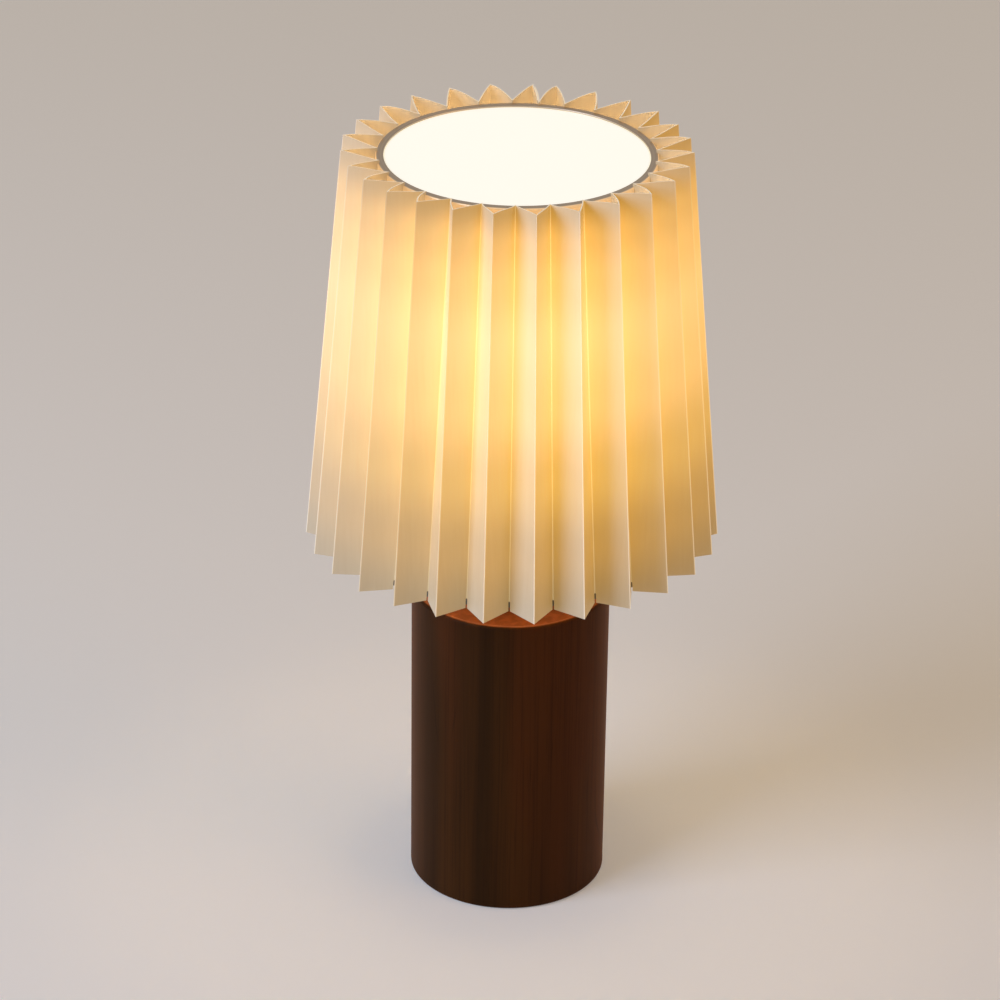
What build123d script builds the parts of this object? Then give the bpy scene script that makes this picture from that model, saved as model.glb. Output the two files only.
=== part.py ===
from build123d import *
import math
import os

# A table lamp: a turned walnut cylinder carries a screw lampholder, and a tapered shade of
# pleated plastic sheet hangs from the holder on a three-armed wire carrier.
# Millimetres, +Z up. The origin is on the table, under the middle of the base.
# The +Y side is the back: the sheet's seam and the cord's inlet are there.

# Clearances
glue_gap = 0.15          # between a glued piece and its seat
seat_gap = 0.25          # between a loose piece and the bore or recess that locates it
thread_gap = 0.1         # round a thread, which is drawn as a plain cylinder
turning_gap = 0.3        # between pieces that turn on each other

# Wooden base
base_diameter = 90.0
base_height = 146.0      # the block alone, without its foot pad
base_top_rounding = 1.8
base_foot_rounding = 1.0
foot_pad_thickness = 2.0
foot_pad_inset = 4.0     # from the block's side
cover_diameter = 78.0
cover_thickness = 2.5
recess_diameter = 64.0
recess_depth = 34.0      # above the cover
ballast_thickness = 22.0
ballast_chamfer = 2.0

# Screws through the cover
cover_screw_count = 3
cover_screw_circle = 71.0
cover_screw_diameter = 3.5
cover_screw_head = 6.5
cover_screw_length = 16.0

# Cord inlet at the back
inlet_height = 11.0      # above the table
inlet_bore = 6.5
grommet_diameter = 10.0
grommet_flange_diameter = 14.0
grommet_flange_thickness = 2.5

# Threaded pipe through the base, with its nuts and washers
pipe_diameter = 10.0
pipe_bore = 7.0
pipe_projection = 1.5    # past the lower nut
pipe_engagement = 8.0    # inside the lampholder's neck
washer_diameter = 30.0
washer_thickness = 1.5
nut_width = 14.0
nut_thickness = 4.0
seat_plate_diameter = 36.0
seat_plate_thickness = 1.5
lock_nut_thickness = 2.5

# Lampholder for a bulb with a 27 mm screw cap
holder_neck_diameter = 17.0
holder_neck_height = 5.0
holder_diameter = 38.0
holder_cap_height = 21.0
holder_cap_wall = 2.0
holder_ledge_height = 13.0   # from the cap's foot to the ledge under the insulator
holder_ledge_diameter = 24.0
holder_shoulder_diameter = 46.0
holder_shoulder_thickness = 2.5
holder_thread_diameter = 39.4
holder_rim_height = 31.5     # above the shoulder
holder_rim_thickness = 4.0
holder_rim_bore = 28.4
holder_bore = 31.2
holder_spigot_diameter = 33.6
holder_spigot_length = 4.0
insulator_thickness = 14.0
insulator_wire_hole = 6.0
screw_shell_wall = 0.4
screw_shell_length = 23.6
screw_shell_floor_hole = 18.0
contact_leaf_width = 6.0
contact_leaf_length = 11.0
contact_leaf_thickness = 0.5
contact_rise = 1.4           # of the sprung tongue above its foot
terminal_spacing = 15.0
terminal_plate_width = 7.0
terminal_plate_thickness = 0.8
terminal_screw_diameter = 3.0
terminal_screw_head = 5.6
terminal_head_height = 2.0
terminal_screw_length = 7.0
grub_screw_diameter = 3.0
grub_screw_length = 4.5

# Ring that clamps the shade on the lampholder
ring_flange_diameter = 54.0
ring_flange_thickness = 3.0
ring_collar_diameter = 46.0
ring_height = 9.0
ring_grip_count = 18
ring_grip_width = 2.4
ring_grip_depth = 0.9

# Pleated sheet
pleat_count = 27
sheet_thickness = 0.5
sheet_height = 183.6
sheet_bottom_diameter = 186.0    # over the outer folds
sheet_top_diameter = 153.0
pleat_depth_bottom = 12.6
pleat_depth_top = 15.3
inner_fold_drop = 2.1            # the inner folds end this much lower at the top
pleat_bow = 0.5                  # how far a pleat's face swells outwards at its upper edge
edge_arch = 1.0                  # how far the same edge rises between its folds
seam_azimuth = 85.0              # degrees from +X
seam_pleat_angle = 8.2           # the narrow pleat where the sheet's ends are joined
pleat_drift = (3.5, 1.8, 0.75, 0.5, -1.0)    # degrees that the hand-set folds wander, wave by wave

# Rings, carrier and diffuser of the shade. The top ring lies in slots through the inner folds,
# and notches at their lower ends straddle the lower ring. Both show a little on the outside.
top_ring_drop = 1.5              # below the upper ends of the inner folds
top_ring_flange = 3.2
top_ring_skirt = 6.0
top_ring_metal = 0.8
ring_stands_out = 0.35
diffuser_thickness = 2.0
diffuser_drop = 0.8              # below the ring's top
carrier_washer_diameter = 64.0
carrier_washer_thickness = 1.5
carrier_arm_count = 3
carrier_arm_azimuth = 90.0
carrier_arm_diameter = 2.5
carrier_arm_start = 28.7         # from the axis
lower_ring_wire = 3.0
lower_ring_rise = 2.6            # from the sheet's lower edge to the wire's centre

# Bulb
bulb_length = 108.0
globe_diameter = 60.0
globe_wall = 1.2
globe_neck_diameter = 48.0
bulb_collar_wall = 1.5
bulb_collar_foot = 27.2          # diameter above the screw cap
bulb_collar_straight = 3.5
screw_cap_diameter = 26.2
screw_cap_length = 22.0
screw_cap_wall = 0.4
cap_insulator_height = 3.0
cap_insulator_diameter = 24.0
tip_contact_diameter = 9.5
tip_contact_height = 1.2
contact_gap = 0.2                # between the bulb's tip and the holder's tongue
led_board_thickness = 1.6

# Heights that follow
block_foot = foot_pad_thickness
block_top = block_foot + base_height
recess_floor = block_foot + cover_thickness
recess_roof = recess_floor + recess_depth
ballast_foot = recess_roof - ballast_thickness
washer_foot = ballast_foot - washer_thickness
nut_foot = washer_foot - nut_thickness
pipe_foot = nut_foot - pipe_projection
lock_nut_foot = block_top + seat_plate_thickness
holder_foot = lock_nut_foot + lock_nut_thickness
pipe_top = holder_foot + pipe_engagement
insulator_foot = holder_foot + holder_ledge_height
insulator_top = insulator_foot + insulator_thickness
holder_cap_top = holder_foot + holder_cap_height
carrier_foot = holder_cap_top + holder_shoulder_thickness
holder_top = carrier_foot + holder_rim_height
carrier_top = carrier_foot + carrier_washer_thickness
arm_height = carrier_top + carrier_arm_diameter / 2
sheet_foot = arm_height - lower_ring_rise
sheet_top = sheet_foot + sheet_height
inner_fold_top = sheet_top - inner_fold_drop
top_ring_top = inner_fold_top - top_ring_drop
bulb_foot = insulator_top + contact_leaf_thickness + contact_rise + contact_gap
screw_cap_foot = bulb_foot + tip_contact_height + cap_insulator_height
screw_cap_top = screw_cap_foot + screw_cap_length
bulb_top = bulb_foot + bulb_length
globe_centre = bulb_top - globe_diameter / 2
globe_foot = globe_centre - math.sqrt(globe_diameter**2 - globe_neck_diameter**2) / 2

upright = (Align.CENTER, Align.CENTER, Align.MIN)


def disc(diameter, foot, height):
    return Pos(0, 0, foot) * Cylinder(diameter / 2, height, align=upright)


def tube(diameter, bore, foot, height):
    return disc(diameter, foot, height) - disc(bore, foot, height)


def turned(outline):
    # The outline is drawn as (radius, height) and spun round the lamp's axis.
    return revolve(Plane.XZ * make_face(outline), Axis.Z)


def turned_points(*points):
    return turned(Polyline(*points, close=True))


def hex_nut(width, bore, foot, height):
    blank = extrude(RegularPolygon(width / 2, 6, major_radius=False), amount=height)
    return Pos(0, 0, foot) * blank - disc(bore, foot, height)


def around(count, radius, first=0.0):
    # Places evenly spaced round the axis, each turned so that its +X points outwards.
    step = 360 / count
    return [Rot(0, 0, first + k * step) * Pos(radius, 0, 0) for k in range(count)]


def along_back(outer, foot_y, length, height):
    # A cylinder along +Y that starts foot_y behind the axis, for the cord's inlet.
    return Pos(0, foot_y, height) * Rot(-90, 0, 0) * Cylinder(outer / 2, length, align=upright)


# Base

def cover_screw(clearance=0.0):
    head = cover_screw_head / 2 + clearance
    shank = cover_screw_diameter / 2 + clearance
    cone = head - shank
    return turned_points(
        (0, 0), (head, 0), (shank, cone), (shank, cover_screw_length), (0, cover_screw_length)
    )


def cover_screws(clearance=0.0):
    places = around(cover_screw_count, cover_screw_circle / 2, carrier_arm_azimuth + 180)
    return [Pos(0, 0, block_foot) * place * cover_screw(clearance) for place in places]


def wood_base():
    block = disc(base_diameter, block_foot, base_height)
    rims = block.edges().filter_by(GeomType.CIRCLE).sort_by(Axis.Z)
    block = fillet(rims[-1], base_top_rounding)
    block = fillet(block.edges().filter_by(GeomType.CIRCLE).sort_by(Axis.Z)[0], base_foot_rounding)
    block -= disc(cover_diameter + 2 * seat_gap, block_foot, cover_thickness)
    block -= disc(recess_diameter, recess_floor, recess_depth)
    block -= disc(pipe_diameter + 2 * seat_gap, recess_roof, block_top - recess_roof)
    block -= along_back(grommet_diameter + 2 * glue_gap, 0, base_diameter, inlet_height)
    flange_seat = base_diameter / 2 - grommet_flange_thickness
    block -= along_back(
        grommet_flange_diameter + 2 * glue_gap, flange_seat, base_diameter, inlet_height
    )
    for screw in cover_screws(thread_gap):
        block -= screw
    return block


def foot_pad():
    return disc(base_diameter - 2 * foot_pad_inset, 0, foot_pad_thickness)


def bottom_cover():
    cover = disc(cover_diameter, block_foot, cover_thickness)
    for screw in cover_screws(thread_gap):
        cover -= screw
    return cover


def ballast_weight():
    weight = disc(recess_diameter - 2 * seat_gap, ballast_foot, ballast_thickness)
    weight = chamfer(weight.edges().filter_by(GeomType.CIRCLE), ballast_chamfer)
    return weight - disc(pipe_diameter + 2 * seat_gap, ballast_foot, ballast_thickness)


def cord_grommet():
    outside = base_diameter / 2
    inside = recess_diameter / 2
    flange_seat = outside - grommet_flange_thickness
    body = along_back(grommet_diameter, inside, outside - inside, inlet_height)
    body += along_back(
        grommet_flange_diameter, flange_seat, grommet_flange_thickness, inlet_height
    )
    return body - along_back(inlet_bore, 0, base_diameter, inlet_height)


def lamp_pipe():
    return tube(pipe_diameter, pipe_bore, pipe_foot, pipe_top - pipe_foot)


def pipe_washer():
    return tube(washer_diameter, pipe_diameter + 2 * seat_gap, washer_foot, washer_thickness)


def pipe_nut():
    return hex_nut(nut_width, pipe_diameter + 2 * thread_gap, nut_foot, nut_thickness)


def seat_plate():
    bore = pipe_diameter + 2 * seat_gap
    plate = disc(seat_plate_diameter, block_top, seat_plate_thickness)
    rim = plate.edges().filter_by(GeomType.CIRCLE).sort_by(Axis.Z)[-1]
    plate = chamfer(rim, seat_plate_thickness / 2)
    return plate - disc(bore, block_top, seat_plate_thickness)


def lock_nut():
    return hex_nut(nut_width, pipe_diameter + 2 * thread_gap, lock_nut_foot, lock_nut_thickness)


# Lampholder

def across_neck(diameter, start, length):
    # A cylinder along +X at the height of the screw in the holder's neck.
    height = holder_foot + holder_neck_height / 2
    return Pos(start, 0, height) * Rot(0, 90, 0) * Cylinder(diameter / 2, length, align=upright)


def cap_lock_screw():
    return across_neck(grub_screw_diameter, pipe_diameter / 2 + thread_gap, grub_screw_length)


def holder_cap():
    neck = holder_neck_diameter / 2
    bore = pipe_diameter / 2 + thread_gap
    outer = holder_diameter / 2
    inner = outer - holder_cap_wall
    ledge = holder_ledge_diameter / 2
    neck_top = holder_foot + holder_neck_height
    cap = turned_points(
        (bore, holder_foot),
        (neck, holder_foot),
        (neck, neck_top),
        (outer - holder_cap_wall, insulator_foot - holder_cap_wall),
        (outer, insulator_foot),
        (outer, holder_cap_top),
        (inner, holder_cap_top),
        (inner, insulator_foot),
        (ledge, insulator_foot),
        (ledge, pipe_top + holder_cap_wall),
        (bore, pipe_top),
    )
    return cap - across_neck(grub_screw_diameter + 2 * thread_gap, 0, holder_neck_diameter)


def holder_skirt():
    spigot = holder_spigot_diameter / 2
    bore = holder_bore / 2
    shoulder = holder_shoulder_diameter / 2
    thread = holder_thread_diameter / 2
    lip = holder_rim_bore / 2
    rim_foot = holder_top - holder_rim_thickness
    spigot_foot = holder_cap_top - holder_spigot_length
    return turned_points(
        (bore, spigot_foot),
        (spigot, spigot_foot),
        (spigot, holder_cap_top),
        (shoulder, holder_cap_top),
        (shoulder, carrier_foot),
        (thread, carrier_foot),
        (thread, holder_top),
        (lip, holder_top),
        (lip, rim_foot),
        (bore, rim_foot),
    )


def terminal_places():
    return [Pos(side * terminal_spacing / 2, 0, insulator_foot) for side in (-1, 1)]


def terminal_screw(clearance=0.0):
    # Its head hangs under the insulator, below the terminal plate.
    under = -terminal_plate_thickness
    head = Pos(0, 0, under) * Rot(180, 0, 0) * Cylinder(
        terminal_screw_head / 2, terminal_head_height, align=upright
    )
    shank = Pos(0, 0, under) * Cylinder(
        terminal_screw_diameter / 2 + clearance, terminal_screw_length, align=upright
    )
    return head + shank


def holder_insulator():
    body = disc(holder_bore - 2 * seat_gap, insulator_foot, insulator_thickness)
    body -= disc(insulator_wire_hole, insulator_foot, insulator_thickness)
    for place in terminal_places():
        body -= place * terminal_screw(thread_gap)
    return body


def terminal_plates():
    blank = Box(
        terminal_plate_width,
        terminal_plate_width,
        terminal_plate_thickness,
        align=(Align.CENTER, Align.CENTER, Align.MAX),
    )
    return [place * blank - place * terminal_screw(thread_gap) for place in terminal_places()]


def terminal_screws():
    return [place * terminal_screw() for place in terminal_places()]


def screw_shell():
    bore = screw_cap_diameter / 2 + turning_gap
    outer = bore + screw_shell_wall
    foot = insulator_top
    return turned_points(
        (screw_shell_floor_hole / 2, foot),
        (outer, foot),
        (outer, foot + screw_shell_length),
        (bore, foot + screw_shell_length),
        (bore, foot + screw_shell_wall),
        (screw_shell_floor_hole / 2, foot + screw_shell_wall),
    )


def centre_contact():
    # A leaf over the wire hole, bent up into a sprung tongue under the bulb's tip.
    half = contact_leaf_length / 2
    crest = insulator_top + contact_leaf_thickness + contact_rise
    foot = insulator_top
    leaf = Polyline(
        (-half, foot),
        (half, foot),
        (half, foot + contact_leaf_thickness),
        (-half + 2 * contact_leaf_thickness, foot + contact_leaf_thickness),
        (half - 2 * contact_leaf_thickness, crest - contact_leaf_thickness),
        (half - 2 * contact_leaf_thickness, crest),
        (0, crest),
        (-half, foot + contact_leaf_thickness),
        close=True,
    )
    return extrude(Plane.XZ * make_face(leaf), amount=contact_leaf_width / 2, both=True)


def retaining_ring():
    bore = holder_thread_diameter + 2 * turning_gap
    ring = tube(ring_flange_diameter, bore, carrier_top, ring_flange_thickness)
    ring += tube(ring_collar_diameter, bore, carrier_top, ring_height)
    groove = Box(
        2 * ring_grip_depth,
        ring_grip_width,
        ring_height - ring_flange_thickness,
        align=upright,
    )
    for place in around(ring_grip_count, ring_collar_diameter / 2):
        ring -= Pos(0, 0, carrier_top + ring_flange_thickness) * place * groove
    return ring


# Shade

def fold_azimuths():
    # The outer folds, in degrees from +X, from one side of the seam pleat round to the other.
    last = pleat_count - 1
    pitch = (360 - seam_pleat_angle) / last
    folds = []
    for k in range(pleat_count):
        drift = sum(
            size * math.sin(math.pi * (wave + 1) * k / last)
            for wave, size in enumerate(pleat_drift)
        )
        folds.append(seam_azimuth + k * pitch + drift)
    return folds


def fold_walls(outer, depth):
    # How far the sheet's inner face lies behind its outer face, measured along the radius at
    # an outer and at an inner fold of an even pleat.
    half_pleat = math.pi / pleat_count
    inner = outer - depth
    across = outer * math.sin(half_pleat)
    slant = math.atan2(across, outer * math.cos(half_pleat) - inner)
    return (
        sheet_thickness / math.sin(slant + half_pleat),
        sheet_thickness / math.sin(slant),
    )


def inner_fold_front(height):
    # The radius of the sheet's outer face at an inner fold, at a height above the table.
    bottom = sheet_bottom_diameter / 2 - pleat_depth_bottom
    top = sheet_top_diameter / 2 - pleat_depth_top
    share = (height - sheet_foot) / (inner_fold_top - sheet_foot)
    return bottom + (top - bottom) * share


def polar(radius, azimuth, height):
    angle = math.radians(azimuth)
    return Vector(radius * math.cos(angle), radius * math.sin(angle), height)


def fold_line(outer, depth, outer_height, inner_height, walls):
    # One zigzag round the shade: an outer fold, the inner fold after it, and so on.
    folds = fold_azimuths()
    points = []
    for here, after in zip(folds, folds[1:] + [folds[0] + 360]):
        points.append(polar(outer - walls[0], here, outer_height))
        points.append(polar(outer - depth - walls[1], (here + after) / 2, inner_height))
    return points


def arched(start, end):
    # The upper edge of one face: an arc that rises and swells outwards between its folds.
    middle = (start + end) / 2
    across = (end - start).cross(Vector(0, 0, 1)).normalized()
    outwards = across if across.dot(Vector(middle.X, middle.Y, 0)) > 0 else -across
    crest = middle + outwards * pleat_bow + Vector(0, 0, edge_arch)
    return Edge.make_three_point_arc(start, crest, end)


def straight(start, end):
    return Edge.make_line(start, end)


def loop(points, edge):
    # The edges that join the points of one zigzag, closed on itself.
    return [edge(start, end) for start, end in zip(points, points[1:] + points[:1])]


def skin(low, high):
    # Ruled faces between two loops of the same number of edges.
    return [Face.make_surface_from_curves(one, other) for one, other in zip(low, high)]


def cut_for_ring(sheet, outer, foot, top):
    # Cuts the inner folds away where a ring of that outer radius passes through them.
    return sheet - disc(2 * (outer + glue_gap), foot, top - foot)


def pleated_sheet():
    # Every pleat has two slightly twisted faces, because the cone brings its folds together.
    bottom = (sheet_bottom_diameter / 2, pleat_depth_bottom)
    top = (sheet_top_diameter / 2, pleat_depth_top)
    no_wall = (0, 0)
    outer_low = loop(fold_line(*bottom, sheet_foot, sheet_foot, no_wall), straight)
    outer_high = loop(fold_line(*top, sheet_top, inner_fold_top, no_wall), arched)
    inner_low = loop(fold_line(*bottom, sheet_foot, sheet_foot, fold_walls(*bottom)), straight)
    inner_high = loop(fold_line(*top, sheet_top, inner_fold_top, fold_walls(*top)), arched)
    faces = skin(outer_low, outer_high)
    faces += skin(inner_high, inner_low)
    faces += skin(outer_high, inner_high)
    faces += skin(inner_low, outer_low)
    slot_foot = top_ring_top - top_ring_metal - glue_gap
    slot_top = top_ring_top + glue_gap
    sheet = cut_for_ring(Solid(Shell(faces)), top_ring_radius(), slot_foot, slot_top)
    lower_ring_outside = lower_ring_radius() + lower_ring_wire / 2
    notch_top = arm_height + lower_ring_wire / 2 + glue_gap
    return cut_for_ring(sheet, lower_ring_outside, sheet_foot, notch_top)


def top_ring_radius():
    return inner_fold_front(top_ring_top) + ring_stands_out


def top_ring():
    # An angle section: its flange lies in the folds' slots, and its skirt holds the diffuser.
    outer = top_ring_radius()
    inner = outer - top_ring_flange
    return turned_points(
        (outer, top_ring_top),
        (inner, top_ring_top),
        (inner, top_ring_top - top_ring_skirt),
        (inner + top_ring_metal, top_ring_top - top_ring_skirt),
        (inner + top_ring_metal, top_ring_top - top_ring_metal),
        (outer, top_ring_top - top_ring_metal),
    )


def diffuser_disc():
    diameter = 2 * (top_ring_radius() - top_ring_flange - glue_gap)
    foot = top_ring_top - diffuser_drop - diffuser_thickness
    return disc(diameter, foot, diffuser_thickness)


def lower_ring_radius():
    # To the middle of the wire.
    return inner_fold_front(arm_height) + ring_stands_out - lower_ring_wire / 2


def bottom_ring():
    return Pos(0, 0, arm_height) * Torus(lower_ring_radius(), lower_ring_wire / 2)


def spider_arms():
    end = lower_ring_radius() - lower_ring_wire / 2 - glue_gap
    arm = Rot(0, 90, 0) * Cylinder(
        carrier_arm_diameter / 2, end - carrier_arm_start, align=upright
    )
    places = around(carrier_arm_count, carrier_arm_start, carrier_arm_azimuth)
    return [Pos(0, 0, arm_height) * place * arm for place in places]


def fitter_washer():
    bore = holder_thread_diameter + 2 * turning_gap
    return tube(carrier_washer_diameter, bore, carrier_foot, carrier_washer_thickness)


# Bulb

def bulb_globe():
    outer = globe_diameter / 2
    inner = outer - globe_wall
    low = math.degrees(math.asin((globe_foot - globe_centre) / outer))
    low_inner = math.degrees(math.asin((globe_foot - globe_centre) / inner))
    centre = (0, globe_centre)
    outside = CenterArc(centre, outer, low, 90 - low)
    inside = CenterArc(centre, inner, low_inner, 90 - low_inner)
    foot = Line(outside @ 0, inside @ 0)
    crown = Line(outside @ 1, inside @ 1)
    return turned(Curve() + [outside, inside, foot, crown])


def bulb_collar():
    foot = bulb_collar_foot / 2
    mouth = globe_neck_diameter / 2
    wall = bulb_collar_wall
    board_seat = globe_foot - led_board_thickness
    bend = screw_cap_top + bulb_collar_straight
    return turned_points(
        (foot - wall, screw_cap_top),
        (foot, screw_cap_top),
        (foot, bend),
        (mouth, globe_foot),
        (mouth - wall, globe_foot),
        (mouth - wall, board_seat),
        (mouth - 2 * wall, board_seat),
        (foot - wall, bend + wall),
    )


def led_board():
    diameter = globe_neck_diameter - 2 * bulb_collar_wall - 2 * glue_gap
    return disc(diameter, globe_foot - led_board_thickness, led_board_thickness)


def bulb_screw_cap():
    return tube(
        screw_cap_diameter,
        screw_cap_diameter - 2 * screw_cap_wall,
        screw_cap_foot,
        screw_cap_length,
    )


def bulb_cap_insulator():
    foot = bulb_foot + tip_contact_height
    return turned_points(
        (0, foot),
        (tip_contact_diameter / 2, foot),
        (cap_insulator_diameter / 2, screw_cap_foot),
        (0, screw_cap_foot),
    )


def bulb_tip_contact():
    return disc(tip_contact_diameter, bulb_foot, tip_contact_height)


pieces = {
    "wood_base": wood_base,
    "foot_pad": foot_pad,
    "bottom_cover": bottom_cover,
    "cover_screws": cover_screws,
    "ballast_weight": ballast_weight,
    "cord_grommet": cord_grommet,
    "lamp_pipe": lamp_pipe,
    "pipe_washer": pipe_washer,
    "pipe_nut": pipe_nut,
    "seat_plate": seat_plate,
    "lock_nut": lock_nut,
    "cap_lock_screw": cap_lock_screw,
    "holder_cap": holder_cap,
    "holder_skirt": holder_skirt,
    "holder_insulator": holder_insulator,
    "terminal_plates": terminal_plates,
    "terminal_screws": terminal_screws,
    "screw_shell": screw_shell,
    "centre_contact": centre_contact,
    "retaining_ring": retaining_ring,
    "pleated_sheet": pleated_sheet,
    "top_ring": top_ring,
    "diffuser_disc": diffuser_disc,
    "bottom_ring": bottom_ring,
    "spider_arms": spider_arms,
    "fitter_washer": fitter_washer,
    "bulb_globe": bulb_globe,
    "bulb_collar": bulb_collar,
    "led_board": led_board,
    "bulb_screw_cap": bulb_screw_cap,
    "bulb_cap_insulator": bulb_cap_insulator,
    "bulb_tip_contact": bulb_tip_contact,
}

os.makedirs("parts", exist_ok=True)
for name, make in pieces.items():
    made = make()
    if isinstance(made, list):
        made = Compound(children=made)
    export_step(made, f"parts/{name}.step")
    print(name, "written")
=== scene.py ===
import math

import bpy
from mathutils import Matrix, Vector


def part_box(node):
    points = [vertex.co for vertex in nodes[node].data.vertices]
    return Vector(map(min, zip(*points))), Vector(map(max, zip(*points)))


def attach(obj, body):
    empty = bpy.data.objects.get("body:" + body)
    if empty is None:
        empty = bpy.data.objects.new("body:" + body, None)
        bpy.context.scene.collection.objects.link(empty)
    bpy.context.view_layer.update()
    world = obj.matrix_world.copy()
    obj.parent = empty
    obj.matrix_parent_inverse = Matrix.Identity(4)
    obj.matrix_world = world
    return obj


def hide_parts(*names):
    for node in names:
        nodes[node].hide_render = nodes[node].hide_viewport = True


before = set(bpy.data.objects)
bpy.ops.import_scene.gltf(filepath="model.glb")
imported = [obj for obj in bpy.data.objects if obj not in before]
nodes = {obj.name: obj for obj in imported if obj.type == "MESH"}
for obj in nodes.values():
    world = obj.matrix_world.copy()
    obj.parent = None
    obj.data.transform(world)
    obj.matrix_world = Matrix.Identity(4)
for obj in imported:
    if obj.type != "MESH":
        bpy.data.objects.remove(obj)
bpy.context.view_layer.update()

mm = 0.001
scene = bpy.context.scene
print("frame loaded,", len(nodes), "nodes")


# Small helpers

def hexColour(code):
    # an sRGB hex value as the linear colour that the shaders mix with
    channels = [int(code[start:start + 2], 16) / 255 for start in (0, 2, 4)]
    linear = [c / 12.92 if c <= 0.04045 else ((c + 0.055) / 1.055) ** 2.4 for c in channels]
    return (*linear, 1.0)


def addNode(tree, kind, inputs=None, **settings):
    # a node with its settings; an input takes a value, a socket, or a node's first live output
    node = tree.nodes.new(kind)
    for name, value in settings.items():
        setattr(node, name, value)
    for name, value in (inputs or {}).items():
        if isinstance(value, bpy.types.Node):
            value = next(output for output in value.outputs if output.enabled)
        if isinstance(value, bpy.types.NodeSocket):
            tree.links.new(value, node.inputs[name])
        else:
            node.inputs[name].default_value = value
    return node


def addObject(name, mesh):
    piece = bpy.data.objects.new(name, mesh)
    scene.collection.objects.link(piece)
    return piece


def newMaterial(name):
    # an empty material, its tree and its object coordinates
    material = bpy.data.materials.new(name)
    material.use_nodes = True
    tree = material.node_tree
    tree.nodes.clear()
    return material, tree, addNode(tree, "ShaderNodeTexCoord").outputs["Object"]


def endMaterial(material, inputs):
    shader = addNode(material.node_tree, "ShaderNodeBsdfPrincipled", inputs)
    addNode(material.node_tree, "ShaderNodeOutputMaterial", {"Surface": shader})
    return material


def distanceFromAxis(tree, place):
    # how far a place is from the lamp's upright axis
    level = addNode(tree, "ShaderNodeVectorMath", {0: place, 1: (1, 1, 0)}, operation="MULTIPLY")
    return addNode(tree, "ShaderNodeVectorMath", {0: level}, operation="LENGTH").outputs["Value"]


def setRamp(node, stops):
    # gives a Color Ramp its stops, each a position and a hex colour, in rising order
    elements = node.color_ramp.elements
    elements[1].position = 1.0
    for position, colour in stops[1:-1]:
        elements.new(position)
    for element, (position, colour) in zip(elements, stops):
        element.position = position
        element.color = hexColour(colour)


def dress(names, material):
    for name in names:
        nodes[name].data.materials.clear()
        nodes[name].data.materials.append(material)


def newGeometryTree(name, sizes):
    # a Geometry Nodes tree with one named input for each size, and one for the material
    tree = bpy.data.node_groups.new(name, "GeometryNodeTree")
    tree.interface.new_socket("Geometry", in_out="OUTPUT", socket_type="NodeSocketGeometry")
    for label, value in sizes.items():
        kind = "NodeSocketInt" if isinstance(value, int) else "NodeSocketFloat"
        tree.interface.new_socket(label, in_out="INPUT", socket_type=kind)
    tree.interface.new_socket("Material", in_out="INPUT", socket_type="NodeSocketMaterial")
    return tree, addNode(tree, "NodeGroupInput").outputs


def numberedGrid(tree, columns, rows):
    # a flat grid, then the column and the row of a vertex or a face's middle, counted from 0,
    # and the number of the last row
    grid = addNode(tree, "GeometryNodeMeshGrid", {
        "Size X": 1.0, "Size Y": 1.0, "Vertices X": columns, "Vertices Y": rows,
    })
    place = addNode(tree, "ShaderNodeSeparateXYZ", {0: addNode(tree, "GeometryNodeInputPosition")})
    numbers = []
    for axis, count in enumerate((columns, rows)):
        last = addNode(tree, "ShaderNodeMath", {0: count, 1: 1.0}, operation="SUBTRACT")
        numbers.append(addNode(tree, "ShaderNodeMapRange", {
            "Value": place.outputs[axis], "From Min": -0.5, "From Max": 0.5, "To Max": last,
        }, clamp=False))
    return grid, *numbers, last


def outwards(tree, angle, radius):
    # the point at this angle from +X and this far from the axis
    cosine = addNode(tree, "ShaderNodeMath", {0: angle}, operation="COSINE")
    sine = addNode(tree, "ShaderNodeMath", {0: angle}, operation="SINE")
    direction = addNode(tree, "ShaderNodeCombineXYZ", {0: cosine, 1: sine})
    return addNode(tree, "ShaderNodeVectorMath", {0: direction, "Scale": radius}, operation="SCALE")


def endTree(tree, geometry, material):
    real = addNode(tree, "GeometryNodeRealizeInstances", {0: geometry})
    painted = addNode(tree, "GeometryNodeSetMaterial", {"Geometry": real, "Material": material})
    addNode(tree, "NodeGroupOutput", {0: painted})


def meshFromTree(name, tree, sizes, material):
    # runs the tree once with these sizes and keeps the plain mesh that it makes
    holder = addObject(name + "Holder", bpy.data.meshes.new(name + "Holder"))
    modifier = holder.modifiers.new("shape", "NODES")
    modifier.node_group = tree
    for item in tree.interface.items_tree:
        if item.in_out == "INPUT":
            modifier[item.identifier] = material if item.name == "Material" else sizes[item.name]
    depsgraph = bpy.context.evaluated_depsgraph_get()
    mesh = bpy.data.meshes.new_from_object(holder.evaluated_get(depsgraph), depsgraph=depsgraph)
    mesh.name = name
    holder.modifiers.remove(modifier)
    bpy.data.objects.remove(holder)
    return mesh


def thicken(piece, thickness, sharpAngle, **settings):
    # gives a thin sheet its wall, inwards and as part of its own mesh, with sharp edges where
    # faces meet at more than this angle
    wall = piece.modifiers.new("wall", "SOLIDIFY")
    wall.thickness = thickness * mm
    wall.offset = -1
    for name, value in settings.items():
        setattr(wall, name, value)
    depsgraph = bpy.context.evaluated_depsgraph_get()
    piece.data = bpy.data.meshes.new_from_object(piece.evaluated_get(depsgraph), depsgraph=depsgraph)
    piece.modifiers.clear()
    piece.data.set_sharp_from_angle(angle=math.radians(sharpAngle))


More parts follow.
